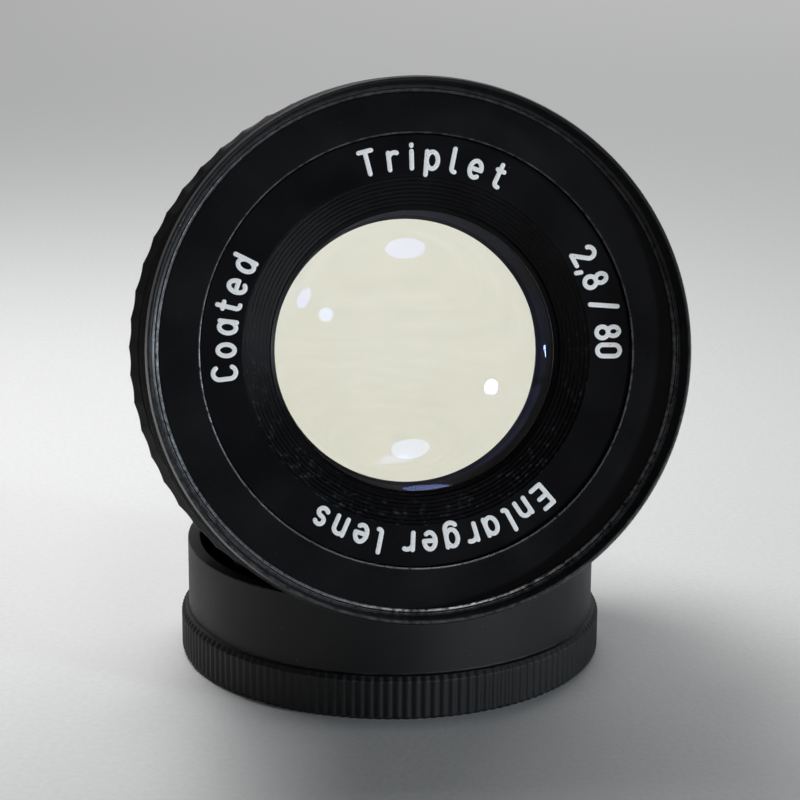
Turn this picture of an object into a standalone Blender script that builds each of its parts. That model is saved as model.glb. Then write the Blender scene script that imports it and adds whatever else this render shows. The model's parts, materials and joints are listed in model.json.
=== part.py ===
"""Enlarger lens, 80 mm f/2.8, leaning on its own upturned rear cap.

Scene units are metres with +Z up. The sizes below are in millimetres. The origin is the centre of
the cap's underside, on the table. The lens looks towards -Y and is tipped up at the front. Its parts
are turned about their own +Z, with the front rim at height 0 and depths counted backwards from it,
and the empty "lens_axis" puts them in place.
"""

import math

import bmesh
import bpy
from mathutils import Matrix, Vector

MM = 0.001
MERGE = 1e-6

# Facets round the outer parts, the inner parts and the small pins.
OUTER_SEGMENTS = 40
INNER_SEGMENTS = 28
PIN_SEGMENTS = 8
PIN_PHASE = 7.0
LENS_STEPS = 4

# How the lens lies on its cap.
TIP_UP = math.radians(14.5)
RIM_CENTRE = Vector((0.0, -31.0, 43.1))

# Rear cap.
CAP_RADIUS = 24.25
CAP_WALL_RADIUS = 23.4
CAP_MOUTH_RADIUS = 22.0
CAP_GRIP_HEIGHT = 5.0
CAP_HEIGHT = 13.3
CAP_FLOOR = 2.0

# Outer casing.
REST_GAP = 0.3
RIM_RADIUS = 27.5
RIM_INNER_RADIUS = 27.2
BEZEL_RADIUS = 27.75
BEZEL_REAR_RADIUS = 28.3
BEZEL_WALL_RADIUS = 27.1
BEZEL_BORE_RADIUS = 26.4
BEZEL_BEVEL_START = 2.65
BEZEL_BEVEL_END = 3.6
BEZEL_LENGTH = 7.6
NOSE_RADIUS = 23.55
SEAT_RADIUS = 25.0
SEAT_START = 7.9
SEAT_END = 14.15
BARREL_RADIUS = 26.3
BARREL_TAPER_START = 38.0
BARREL_END_RADIUS = 24.9
BARREL_END = 46.5
CHAMBER_RADIUS = 23.2
CHAMBER_START = 11.5
WEB_RADIUS = 17.6
WEB_FRONT = 7.85

# Front trim ring, and the name ring a small step behind it.
TRIM_RADIUS = 26.1
TRIM_INNER_RADIUS = 22.35
TRIM_OUTER_DEPTH = 3.65
TRIM_INNER_DEPTH = 3.85
TRIM_BACK = 4.45
NAME_RADIUS = 22.1
NAME_OUTER_DEPTH = 4.45
NAME_INNER_DEPTH = 4.6
NAME_BAND_INNER = 17.9
CONE_INNER = 15.1

# Mount: a 42 mm x 1 mm thread behind a shoulder.
THREAD_RADIUS = 20.9
THREAD_BORE_RADIUS = 18.5
SHOULDER_RADIUS = 23.5
SHOULDER_DEPTH = 50.0
THREAD_END = 54.4
SPIGOT_RADIUS = 22.95
SPIGOT_START = 43.0
MOUNT_SCREW_DEPTH = 44.7
MOUNT_SCREW_ANGLES = (90.0, 210.0, 330.0)

# Scalloped grip ring, round the barrel behind the aperture ring.
GRIP_RADIUS = 29.6
GRIP_BORE_RADIUS = 26.6
GRIP_FRONT = 24.9
GRIP_BACK = 30.8

# Aperture ring.
RING_RADIUS = 27.6
RING_BORE_RADIUS = 25.15
RING_FRONT = 7.95
RING_BACK = 13.95
RING_CHAMFER = 0.6
RING_TRAVEL = 40.0
STOP_COUNT = 6
DETENT_ANGLE = 37.0
DETENT_RADIUS = 0.6
DETENT_CENTRE_RADIUS = 25.3

# Click ball and its spring, in a blind radial bore of the barrel.
CLICK_DEPTH = 9.3
CLICK_BORE_RADIUS = 0.95
CLICK_BORE_BOTTOM = 20.5
BALL_RADIUS = 0.75
BALL_CENTRE_RADIUS = 24.2
SPRING_RADIUS = 0.55
SPRING_WIRE_RADIUS = 0.11
SPRING_BOTTOM = 20.75
SPRING_TOP = 23.25
SPRING_TURNS = 4

# Iris.
BLADE_COUNT = 8
BLADE_INNER = 12.95
BLADE_OUTER = 19.35
BLADE_END_ANGLE = 112.0
BLADE_HEEL_ANGLE = 3.0
BLADE_THICKNESS = 0.12
BLADE_PITCH = 0.2
FIRST_BLADE_DEPTH = 13.42
PIVOT_RADIUS = 20.6
PIVOT_PIN_RADIUS = 0.55
DRIVE_ARM = 3.0
DRIVE_PIN_RADIUS = 0.45
DRIVE_PIN_TIP_DEPTH = 12.0
BLADE_TRAVEL = 29.6
BLADE_RATIO = BLADE_TRAVEL / RING_TRAVEL
CAM_INNER = 17.0
CAM_OUTER = 22.85
CAM_FRONT = 11.7
CAM_BACK = 13.3
CAM_SLOT_HALF_WIDTH = 0.6
CAM_SLOT_STEPS = 8
PLATE_OUTER = 22.95
PLATE_BORE = 12.5
PLATE_FRONT = 15.05
PLATE_BACK = 15.85
PLATE_HOLE_RADIUS = 0.72

# Drive screw, from the aperture ring through the barrel's slot into the cam ring.
DRIVE_SCREW_ANGLE = 216.6
DRIVE_SCREW_DEPTH = 12.5
DRIVE_SCREW_RADIUS = 0.6

# Optics: (curvature radii, vertex depths, half diameter). A positive radius bulges to the front.
FRONT_ELEMENT = ((36.0, -700.0), (4.4, 10.0), 14.9)
MIDDLE_ELEMENT = ((-34.0, 32.5), (19.45, 21.15), 13.5)
REAR_ELEMENT = ((127.0, -29.4), (27.6, 33.4), 15.1)


# ---------------------------------------------------------------- tools

def clear_scene():
    for thing in list(bpy.data.objects):
        bpy.data.objects.remove(thing)


def material(name, colour, roughness, metallic, transmission=0.0):
    made = bpy.data.materials.new(name)
    made.use_nodes = True
    shader = made.node_tree.nodes["Principled BSDF"]
    shader.inputs["Base Color"].default_value = (*colour, 1.0)
    shader.inputs["Roughness"].default_value = roughness
    shader.inputs["Metallic"].default_value = metallic
    shader.inputs["Transmission Weight"].default_value = transmission
    return made


def new_object(name, mesh_builder, finish):
    """Object made from a bmesh in millimetres, smooth apart from its real edges."""
    bmesh.ops.recalc_face_normals(mesh_builder, faces=mesh_builder.faces)
    bmesh.ops.scale(mesh_builder, vec=(MM, MM, MM), verts=mesh_builder.verts)
    mesh = bpy.data.meshes.new(name)
    mesh_builder.to_mesh(mesh)
    mesh_builder.free()
    mesh.materials.append(finish)
    mesh.shade_smooth()
    mesh.set_sharp_from_angle(angle=math.radians(30))
    made = bpy.data.objects.new(name, mesh)
    bpy.context.scene.collection.objects.link(made)
    return made


def empty(name, location, rotation=(0.0, 0.0, 0.0)):
    made = bpy.data.objects.new(name, None)
    made.location = location
    made.rotation_euler = rotation
    bpy.context.scene.collection.objects.link(made)
    return made


def turned(name, outline, finish, segments=OUTER_SEGMENTS):
    """Body turned about Z from (radius, height) points. An outline that starts and ends on the axis
    is solid there, and any other outline closes on itself as a ring."""
    builder = bmesh.new()
    corners = [builder.verts.new((radius, 0.0, height)) for radius, height in outline]
    sides = [builder.edges.new(pair) for pair in zip(corners, corners[1:])]
    if outline[0][0] > 0.0:
        sides.append(builder.edges.new((corners[-1], corners[0])))
    bmesh.ops.spin(builder, geom=corners + sides, cent=(0, 0, 0), axis=(0, 0, 1),
                   angle=math.tau, steps=segments, use_merge=False)
    bmesh.ops.remove_doubles(builder, verts=builder.verts, dist=MERGE / MM)
    return new_object(name, builder, finish)


def behind(outline):
    """(radius, depth behind the front rim) points as (radius, height) points."""
    return [(radius, -depth) for radius, depth in outline]


def ring_outline(inner, outer, front, back):
    return behind([(inner, front), (outer, front), (outer, back), (inner, back)])


def prism(name, outline, low, high, finish):
    """Flat outline of (x, y) points given thickness from height low to height high."""
    builder = bmesh.new()
    corners = [builder.verts.new((x, y, low)) for x, y in outline]
    base = builder.faces.new(corners)
    grown = bmesh.ops.extrude_face_region(builder, geom=[base])
    risen = [item for item in grown["geom"] if isinstance(item, bmesh.types.BMVert)]
    bmesh.ops.translate(builder, vec=(0, 0, high - low), verts=risen)
    return new_object(name, builder, finish)


def cylinder(name, radius, low, high, finish, centre=(0.0, 0.0), segments=PIN_SEGMENTS):
    circle = arc(radius, PIN_PHASE, PIN_PHASE + 360.0 - 360.0 / segments, segments - 1, centre)
    return prism(name, circle, low, high, finish)


def arc(radius, start, end, steps, centre=(0.0, 0.0)):
    """Points on an arc, with the angles in degrees."""
    points = []
    for step in range(steps + 1):
        angle = math.radians(start + (end - start) * step / steps)
        points.append((centre[0] + radius * math.cos(angle), centre[1] + radius * math.sin(angle)))
    return points


def sector(inner, outer, start, end, steps):
    return arc(outer, start, end, steps) + arc(inner, end, start, steps)


def radial(made, angle, depth):
    """Turns a piece built along Z so that it points out of the lens axis at this angle and depth."""
    turn = Matrix.Rotation(math.radians(angle), 4, "Z") @ Matrix.Rotation(math.radians(90), 4, "Y")
    made.data.transform(Matrix.Translation((0.0, 0.0, -depth * MM)) @ turn)
    return made


def combine(target, tools, operation):
    """Cuts the tools from the target or joins them to it, and removes the tools."""
    for tool in tools:
        step = target.modifiers.new(operation.lower(), "BOOLEAN")
        step.operation = operation
        step.object = tool
    bpy.context.view_layer.update()
    seen = target.evaluated_get(bpy.context.evaluated_depsgraph_get())
    result = bpy.data.meshes.new_from_object(seen)
    target.modifiers.clear()
    target.data = result
    result.shade_smooth()
    result.set_sharp_from_angle(angle=math.radians(30))
    for tool in tools:
        bpy.data.objects.remove(tool)
    return target


def turned_point(point, angle, centre=(0.0, 0.0)):
    """A flat point turned by an angle in degrees about a centre."""
    c, s = math.cos(math.radians(angle)), math.sin(math.radians(angle))
    x, y = point[0] - centre[0], point[1] - centre[1]
    return centre[0] + c * x - s * y, centre[1] + s * x + c * y


# ---------------------------------------------------------------- rear cap

def make_rear_cap(finish):
    outline = [
        (0.0, 0.0), (CAP_RADIUS - 0.4, 0.0), (CAP_RADIUS, 0.4), (CAP_RADIUS, CAP_GRIP_HEIGHT - 0.7),
        (CAP_RADIUS - 0.4, CAP_GRIP_HEIGHT), (CAP_WALL_RADIUS, CAP_GRIP_HEIGHT + 0.05),
        (CAP_WALL_RADIUS, CAP_HEIGHT), (CAP_MOUTH_RADIUS, CAP_HEIGHT),
        (CAP_MOUTH_RADIUS, CAP_FLOOR), (0.0, CAP_FLOOR),
    ]
    return [turned("rear_cap", outline, finish)]


# ---------------------------------------------------------------- casing

def screw_hole(angle, depth, radius, low, high, finish):
    return radial(cylinder("hole", radius, low, high, finish), angle, depth)


def make_barrel(finish):
    outline = behind([
        (22.4, 4.8), (NOSE_RADIUS, 4.8), (NOSE_RADIUS, SEAT_START), (SEAT_RADIUS, SEAT_START),
        (SEAT_RADIUS, SEAT_END), (BARREL_RADIUS, SEAT_END), (BARREL_RADIUS, BARREL_TAPER_START),
        (BARREL_END_RADIUS, BARREL_END), (CHAMBER_RADIUS, BARREL_END),
        (CHAMBER_RADIUS, CHAMBER_START), (WEB_RADIUS, CHAMBER_START), (WEB_RADIUS, WEB_FRONT),
        (22.4, WEB_FRONT),
    ])
    barrel = turned("barrel", outline, finish)
    slot_start = DRIVE_SCREW_ANGLE - 3.5
    slot_end = DRIVE_SCREW_ANGLE + RING_TRAVEL + 3.5
    slot = prism("slot", sector(22.4, 25.8, slot_start, slot_end, 8), -13.4, -CHAMBER_START - 0.2, finish)
    tools = [slot, screw_hole(DETENT_ANGLE, CLICK_DEPTH, CLICK_BORE_RADIUS, CLICK_BORE_BOTTOM, 26.0, finish)]
    tools.append(screw_hole(90.0, 15.4, 0.85, 25.6, 27.0, finish))
    for angle in MOUNT_SCREW_ANGLES:
        tools.append(screw_hole(angle, MOUNT_SCREW_DEPTH, 1.05, 22.5, 27.0, finish))
    return [combine(barrel, tools, "DIFFERENCE")]


def make_front_bezel(finish):
    outline = behind([
        (RIM_INNER_RADIUS, 0.0), (RIM_RADIUS, 0.0), (BEZEL_RADIUS, 0.9),
        (BEZEL_REAR_RADIUS, BEZEL_LENGTH), (23.8, BEZEL_LENGTH), (23.8, 4.75),
        (BEZEL_BORE_RADIUS, 4.75), (BEZEL_BORE_RADIUS, BEZEL_BEVEL_END),
        (BEZEL_WALL_RADIUS, BEZEL_BEVEL_START),
    ])
    return [turned("front_bezel", outline, finish)]


def make_grip_ring(finish):
    outline = behind([
        (GRIP_BORE_RADIUS, GRIP_FRONT), (GRIP_RADIUS - 0.9, GRIP_FRONT), (GRIP_RADIUS, GRIP_FRONT + 0.6),
        (GRIP_RADIUS, GRIP_BACK - 0.6), (GRIP_RADIUS - 0.6, GRIP_BACK), (GRIP_BORE_RADIUS, GRIP_BACK),
    ])
    return [turned("grip_ring", outline, finish)]


def make_front_trim_ring(finish):
    outline = behind([
        (TRIM_INNER_RADIUS, TRIM_INNER_DEPTH), (TRIM_RADIUS, TRIM_OUTER_DEPTH),
        (TRIM_RADIUS, TRIM_BACK), (TRIM_INNER_RADIUS, TRIM_BACK),
    ])
    return [turned("front_trim_ring", outline, finish)]


def make_name_ring(finish):
    outline = behind([
        (NAME_BAND_INNER, NAME_INNER_DEPTH), (NAME_RADIUS, NAME_OUTER_DEPTH), (NAME_RADIUS, 5.9),
        (18.6, 5.9), (18.6, 6.35), (CONE_INNER, 6.35), (CONE_INNER, 6.1),
    ])
    return [turned("name_ring", outline, finish)]


def make_mount_flange(finish):
    outline = behind([
        (THREAD_BORE_RADIUS, SPIGOT_START), (SPIGOT_RADIUS, SPIGOT_START),
        (SPIGOT_RADIUS, BARREL_END + REST_GAP), (BARREL_END_RADIUS - 0.1, BARREL_END + REST_GAP),
        (SHOULDER_RADIUS, SHOULDER_DEPTH), (THREAD_RADIUS, SHOULDER_DEPTH),
        (THREAD_RADIUS, THREAD_END), (THREAD_BORE_RADIUS, THREAD_END),
    ])
    flange = turned("mount_flange", outline, finish)
    holes = [screw_hole(angle, MOUNT_SCREW_DEPTH, 0.95, 21.2, 24.0, finish) for angle in MOUNT_SCREW_ANGLES]
    return [combine(flange, holes, "DIFFERENCE")]


def slotted_screw(name, radius, bottom, top, finish):
    """Headless screw along Z with a screwdriver slot across its top."""
    screw = cylinder(name, radius, bottom, top, finish)
    half = 1.5 * radius
    blade = prism("blade", [(-half, -0.12), (half, -0.12), (half, 0.12), (-half, 0.12)],
                  top - 0.5, top + 0.5, finish)
    return combine(screw, [blade], "DIFFERENCE")


def make_mount_screws(finish):
    screws = []
    for number, angle in enumerate(MOUNT_SCREW_ANGLES, start=1):
        screw = slotted_screw(f"mount_screw_{number}", 0.75, 21.6, 24.9, finish)
        screws.append(radial(screw, angle, MOUNT_SCREW_DEPTH))
    return screws


def make_index_dot(finish):
    return [radial(cylinder("index_dot", 0.6, 25.95, 26.4, finish), 90.0, 15.4)]


# ---------------------------------------------------------------- optics

def surface(curvature, vertex, half_diameter):
    """(radius, depth) points of a ground surface, from the axis to the edge."""
    points = []
    for step in range(LENS_STEPS + 1):
        radius = half_diameter * step / LENS_STEPS
        sag = curvature - math.copysign(math.sqrt(curvature ** 2 - radius ** 2), curvature)
        points.append((radius, vertex + sag))
    return points


def make_element(name, element, finish):
    curvatures, vertices, half_diameter = element
    front = surface(curvatures[0], vertices[0], half_diameter)
    rear = surface(curvatures[1], vertices[1], half_diameter)
    return [turned(name, behind(front + rear[::-1]), finish, INNER_SEGMENTS)]


def make_front_cell(finish):
    outline = behind([
        (16.4, 6.65), (20.8, 6.65), (20.8, 7.55), (17.35, 7.55), (17.35, 11.2), (14.1, 11.2),
        (14.1, 10.3), (15.15, 10.3), (15.15, 7.75), (16.4, 7.75),
    ])
    return [turned("front_cell", outline, finish, INNER_SEGMENTS)]


def make_front_lock_ring(finish):
    outline = behind([(14.9, 6.65), (16.1, 6.65), (16.1, 7.2), (14.5, 7.12), (14.5, 6.9)])
    return [turned("front_lock_ring", outline, finish, INNER_SEGMENTS)]


def make_rear_cell(finish):
    outline = behind([
        (11.9, 16.1), (15.0, 16.1), (15.0, 17.4), (22.9, 17.4), (22.9, 21.0), (17.4, 21.0),
        (17.4, 35.0), (16.35, 35.0), (16.35, 29.6), (15.35, 29.6), (15.35, 24.0), (13.75, 24.0),
        (13.75, 16.35), (11.9, 16.35),
    ])
    return [turned("rear_cell", outline, finish, INNER_SEGMENTS)]


def make_spacer_ring(finish):
    outline = behind([(12.85, 24.4), (13.5, 24.4), (15.05, 24.75), (15.05, 28.1), (14.4, 28.1)])
    return [turned("spacer_ring", outline, finish, INNER_SEGMENTS)]


def make_rear_lock_ring(finish):
    ring = turned("rear_lock_ring", ring_outline(14.75, 16.05, 30.0, 31.9), finish, INNER_SEGMENTS)
    notches = [
        prism("notch", [(side * 14.2, -0.6), (side * 16.6, -0.6), (side * 16.6, 0.6), (side * 14.2, 0.6)],
              -32.5, -31.2, finish)
        for side in (-1, 1)
    ]
    return [combine(ring, notches, "DIFFERENCE")]


# ---------------------------------------------------------------- aperture ring and click stop

def make_aperture_ring(finish):
    outline = behind([
        (RING_BORE_RADIUS, RING_FRONT), (RING_RADIUS - RING_CHAMFER, RING_FRONT),
        (RING_RADIUS, RING_FRONT + RING_CHAMFER), (RING_RADIUS, RING_BACK - RING_CHAMFER),
        (RING_RADIUS - RING_CHAMFER, RING_BACK), (RING_BORE_RADIUS, RING_BACK),
    ])
    ring = turned("aperture_ring", outline, finish)
    tools = [screw_hole(DRIVE_SCREW_ANGLE, DRIVE_SCREW_DEPTH, 0.9, 24.0, 30.0, finish)]
    stop_step = RING_TRAVEL / (STOP_COUNT - 1)
    for stop in range(STOP_COUNT):
        angle = math.radians(DETENT_ANGLE - stop * stop_step)
        centre = (DETENT_CENTRE_RADIUS * math.cos(angle), DETENT_CENTRE_RADIUS * math.sin(angle))
        tools.append(cylinder("detent", DETENT_RADIUS, -RING_BACK - 1.0, -RING_FRONT + 1.0, finish, centre))
    return [combine(ring, tools, "DIFFERENCE")]


def make_drive_screw(finish):
    screw = slotted_screw("drive_screw", DRIVE_SCREW_RADIUS, 21.7, 27.2, finish)
    return [radial(screw, DRIVE_SCREW_ANGLE, DRIVE_SCREW_DEPTH)]


def make_click_ball(finish):
    builder = bmesh.new()
    bmesh.ops.create_icosphere(builder, subdivisions=2, radius=BALL_RADIUS,
                               matrix=Matrix.Translation((0, 0, BALL_CENTRE_RADIUS)))
    return [radial(new_object("click_ball", builder, finish), DETENT_ANGLE, CLICK_DEPTH)]


def make_click_spring(finish):
    """Coil along the click bore: a bevelled curve with closed ends."""
    curve = bpy.data.curves.new("click_spring", "CURVE")
    curve.dimensions = "3D"
    curve.bevel_depth = SPRING_WIRE_RADIUS * MM
    curve.bevel_resolution = 0
    curve.use_fill_caps = True
    steps = SPRING_TURNS * 8
    wire = curve.splines.new("POLY")
    wire.points.add(steps)
    for step, point in enumerate(wire.points):
        angle = math.tau * SPRING_TURNS * step / steps
        rise = SPRING_BOTTOM + (SPRING_TOP - SPRING_BOTTOM) * step / steps
        point.co = (SPRING_RADIUS * math.cos(angle) * MM, SPRING_RADIUS * math.sin(angle) * MM, rise * MM, 1.0)
    curve.materials.append(finish)
    made = bpy.data.objects.new("click_spring", curve)
    bpy.context.scene.collection.objects.link(made)
    turn = Matrix.Rotation(math.radians(DETENT_ANGLE), 4, "Z") @ Matrix.Rotation(math.radians(90), 4, "Y")
    made.matrix_world = Matrix.Translation((0.0, 0.0, -CLICK_DEPTH * MM)) @ turn
    return [made]


# ---------------------------------------------------------------- iris

def drive_pin_centre():
    """Drive pin of the blade whose pivot is at angle 0. It swings evenly to both sides of its arm."""
    lean = math.radians(BLADE_TRAVEL / 2)
    return PIVOT_RADIUS - DRIVE_ARM * math.sin(lean), -DRIVE_ARM * math.cos(lean)


def blade_outline():
    """Blade whose pivot is at angle 0: a crescent round the open stop, with an ear for both pins."""
    ear = arc(0.85, 190.0, 360.0, 4, drive_pin_centre())
    heel = arc(1.15, -20.0, 100.0, 4, (PIVOT_RADIUS, 0.0))
    outer = arc(BLADE_OUTER, 5.0, BLADE_END_ANGLE - 3.0, 11)
    inner = arc(BLADE_INNER, BLADE_END_ANGLE, BLADE_HEEL_ANGLE, 11)
    return ear + heel + outer + inner


def make_iris_blade(number, finish):
    """Blade number 1 is next to the cam ring. Its origin is on its pivot."""
    front = FIRST_BLADE_DEPTH + (number - 1) * BLADE_PITCH
    middle = front + BLADE_THICKNESS / 2
    blade = prism(f"iris_blade_{number}", blade_outline(), -front - BLADE_THICKNESS, -front, finish)
    drive_pin = cylinder("pin", DRIVE_PIN_RADIUS, -middle, -DRIVE_PIN_TIP_DEPTH, finish, drive_pin_centre())
    pivot_pin = cylinder("pin", PIVOT_PIN_RADIUS, -PLATE_BACK + 0.1, -middle, finish, (PIVOT_RADIUS, 0.0))
    combine(blade, [drive_pin, pivot_pin], "UNION")
    blade.data.transform(Matrix.Translation((-PIVOT_RADIUS * MM, 0.0, 0.0)))
    angle = math.tau * (number - 1) / BLADE_COUNT
    blade.location = Vector((math.cos(angle), math.sin(angle), 0.0)) * PIVOT_RADIUS * MM
    blade.rotation_euler.z = angle
    return blade


def cam_slot_outline(blade_angle):
    """Slot of the cam ring that turns a blade at a constant ratio: the drive pin's path as the ring
    sees it, widened to both sides and closed with round ends."""
    pivot = turned_point((PIVOT_RADIUS, 0.0), blade_angle)
    pin = turned_point(drive_pin_centre(), blade_angle)
    path = []
    for step in range(CAM_SLOT_STEPS + 1):
        ring_angle = RING_TRAVEL * step / CAM_SLOT_STEPS
        path.append(turned_point(turned_point(pin, BLADE_RATIO * ring_angle, pivot), -ring_angle))
    left, right = [], []
    for here, before, after in zip(path, [path[0]] + path[:-1], path[1:] + [path[-1]]):
        run = Vector((after[0] - before[0], after[1] - before[1])).normalized()
        side = Vector((-run.y, run.x)) * CAM_SLOT_HALF_WIDTH
        left.append((here[0] + side.x, here[1] + side.y))
        right.append((here[0] - side.x, here[1] - side.y))
    end_run = math.degrees(math.atan2(path[-1][1] - path[-2][1], path[-1][0] - path[-2][0]))
    start_run = math.degrees(math.atan2(path[1][1] - path[0][1], path[1][0] - path[0][0]))
    far_end = arc(CAM_SLOT_HALF_WIDTH, end_run - 90.0, end_run + 90.0, 4, path[-1])[1:-1]
    near_end = arc(CAM_SLOT_HALF_WIDTH, start_run + 90.0, start_run + 270.0, 4, path[0])[1:-1]
    return right + far_end + left[::-1] + near_end


def make_iris_cam_ring(finish):
    ring = turned("iris_cam_ring", ring_outline(CAM_INNER, CAM_OUTER, CAM_FRONT, CAM_BACK), finish)
    tools = []
    for blade in range(BLADE_COUNT):
        outline = cam_slot_outline(360.0 * blade / BLADE_COUNT)
        tools.append(prism("slot", outline, -CAM_BACK - 1.0, -CAM_FRONT + 1.0, finish))
    notch = sector(21.4, 24.0, DRIVE_SCREW_ANGLE - 2.3, DRIVE_SCREW_ANGLE + 2.3, 1)
    tools.append(prism("notch", notch, -CAM_BACK - 1.0, -CAM_FRONT + 1.0, finish))
    return [combine(ring, tools, "DIFFERENCE")]


def make_iris_base_plate(finish):
    plate = turned("iris_base_plate", ring_outline(PLATE_BORE, PLATE_OUTER, PLATE_FRONT, PLATE_BACK), finish)
    holes = []
    for blade in range(BLADE_COUNT):
        centre = turned_point((PIVOT_RADIUS, 0.0), 360.0 * blade / BLADE_COUNT)
        holes.append(cylinder("hole", PLATE_HOLE_RADIUS, -PLATE_BACK - 1.0, -PLATE_FRONT + 1.0, finish, centre))
    return [combine(plate, holes, "DIFFERENCE")]


def make_iris_snap_ring(finish):
    outline = sector(21.2, 22.9, 280.0, 620.0, OUTER_SEGMENTS - 2)
    return [prism("iris_snap_ring", outline, -17.1, -16.15, finish)]


# ---------------------------------------------------------------- assembly

def main():
    clear_scene()
    cap_plastic = material("cap_plastic", (0.018, 0.018, 0.019), 0.5, 0.0)
    gloss_black = material("gloss_black", (0.012, 0.012, 0.013), 0.25, 0.0)
    satin_black = material("satin_black", (0.02, 0.02, 0.022), 0.4, 0.0)
    glass = material("coated_glass", (0.95, 0.97, 1.0), 0.02, 0.0, 1.0)
    blade_black = material("blade_black", (0.03, 0.03, 0.032), 0.45, 0.8)
    brass = material("brass", (0.75, 0.56, 0.25), 0.35, 1.0)
    steel = material("steel", (0.55, 0.55, 0.56), 0.3, 1.0)
    white_paint = material("white_paint", (0.85, 0.85, 0.83), 0.5, 0.0)

    make_rear_cap(cap_plastic)
    lens_axis = empty("lens_axis", RIM_CENTRE * MM, (math.radians(90) - TIP_UP, 0.0, 0.0))

    fixed = make_barrel(satin_black) + make_front_bezel(gloss_black) + make_front_trim_ring(gloss_black)
    fixed += make_name_ring(satin_black) + make_mount_flange(satin_black) + make_mount_screws(steel)
    fixed += make_grip_ring(gloss_black) + make_index_dot(white_paint)
    fixed += make_front_cell(satin_black) + make_front_lock_ring(satin_black)
    fixed += make_element("front_element", FRONT_ELEMENT, glass)
    fixed += make_element("middle_element", MIDDLE_ELEMENT, glass)
    fixed += make_element("rear_element", REAR_ELEMENT, glass)
    fixed += make_rear_cell(satin_black) + make_spacer_ring(satin_black) + make_rear_lock_ring(satin_black)
    fixed += make_click_ball(steel) + make_click_spring(steel)
    fixed += make_iris_base_plate(blade_black) + make_iris_snap_ring(steel)
    turning = make_aperture_ring(gloss_black) + make_drive_screw(brass) + make_iris_cam_ring(brass)
    blades = [make_iris_blade(number, blade_black) for number in range(1, BLADE_COUNT + 1)]
    for piece in fixed + turning + blades:
        piece.parent = lens_axis


main()
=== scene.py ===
"""Looks of an 80 mm enlarger lens that leans on its own upturned rear cap.

Lens pieces are turned round the lens axis. Their outlines are (radius, depth) points in millimetres,
with the depth counted back from the front rim. Angles are in degrees, anticlockwise as seen from the
front, with 90 at the top. The cap's outlines are (radius, height) points.
"""

import json
import math

import bmesh
import bpy
from mathutils import Matrix, Vector


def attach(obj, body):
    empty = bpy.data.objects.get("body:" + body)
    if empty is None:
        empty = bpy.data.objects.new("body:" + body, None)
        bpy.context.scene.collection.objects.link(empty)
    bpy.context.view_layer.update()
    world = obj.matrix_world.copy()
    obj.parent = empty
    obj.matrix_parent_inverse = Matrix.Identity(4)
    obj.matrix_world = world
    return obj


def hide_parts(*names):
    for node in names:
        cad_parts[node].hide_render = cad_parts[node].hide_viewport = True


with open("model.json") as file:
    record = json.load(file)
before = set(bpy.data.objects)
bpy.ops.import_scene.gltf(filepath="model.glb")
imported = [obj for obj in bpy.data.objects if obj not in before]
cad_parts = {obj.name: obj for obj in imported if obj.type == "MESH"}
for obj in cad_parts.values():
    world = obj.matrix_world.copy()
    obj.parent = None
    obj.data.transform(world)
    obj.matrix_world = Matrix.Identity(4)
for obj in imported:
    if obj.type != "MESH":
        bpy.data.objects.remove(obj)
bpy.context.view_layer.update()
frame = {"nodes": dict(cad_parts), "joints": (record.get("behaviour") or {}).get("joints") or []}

MM = 0.001
SMALL = 1e-6

# Edges shorter than this, in metres, are cleared away after a cut.
SLIVER = 2e-7

# The lens axis, from the aperture ring's hinge: X to the right, Y up and Z forward, as seen from the front.
HINGE = next(joint for joint in frame["joints"] if joint["name"] == "aperture")
FORWARD = Vector(HINGE["axis"]).normalized()
ACROSS = Vector((1.0, 0.0, 0.0))
UPWARD = FORWARD.cross(ACROSS)
TURN = Matrix((ACROSS, UPWARD, FORWARD)).transposed().to_4x4()
LENS = Matrix.Translation(HINGE["pos_m"]) @ TURN @ Matrix.Scale(MM, 4)
CAP = Matrix.Scale(MM, 4)

# Segments round a turned piece of the casing, round the glass and round the inner cells.
FINE = 256
LENS_SEGMENTS = 192
MEDIUM = 144

# Usual rounding of an edge, and the width of the narrow strip beside it.
ROUNDING = 0.07
LIP = 0.09

# Rim and casing.
RIM_OUTER = 27.5
RIM_INNER = 27.2
BEZEL_RADIUS = 27.75
BEZEL_REAR = 28.3
BEZEL_BACK = 7.6
BEZEL_WALL = 27.1
BEZEL_BORE = 26.4
BEVEL_START = 3.3
BEVEL_END = 3.62
RIB_START = 0.95
RIB_COUNT = 9
RIB_PITCH = 0.7
RIB_DROP = 0.12
BARREL_RADIUS = 26.3
BARREL_END = 46.5
INDEX_DEPTH = 15.4
INDEX_RADIUS = 0.58
INDEX_HOLE = 0.62

# Trim ring and name ring.
TRIM_INNER = 22.2
TRIM_OUTER_DEPTH = 3.65
TRIM_INNER_DEPTH = 3.85
TRIM_BACK = 4.4
BAND_OUTER = 22.15
BAND_OUTER_DEPTH = 4.45
BAND_INNER = 17.9
BAND_INNER_DEPTH = 4.6
CONE_INNER = 15.1
CONE_DEPTH = 6.1
CONE_STEPS = 7
BASELINE = 18.43
CAP_LETTER = 2.83
STROKE = 0.5
PAINT_HEIGHT = 0.05

# Each word on the name ring: the angle of its middle, and the angle that it spans.
WORDS = (("Triplet", 84.25, 44.5), ("2,8 / 80", 13.8, 34.4), ("Enlarger lens", -85.75, 75.5),
         ("Coated", 169.1, 37.8))

# Grip ring.
GRIP_RADIUS = 29.6
GRIP_BORE = 26.32
GRIP_FRONT = 24.9
GRIP_BACK = 30.8
FLUTES = 60
FLUTE_DEPTH = 0.17
FLUTE_PHASE = 0.3

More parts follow.
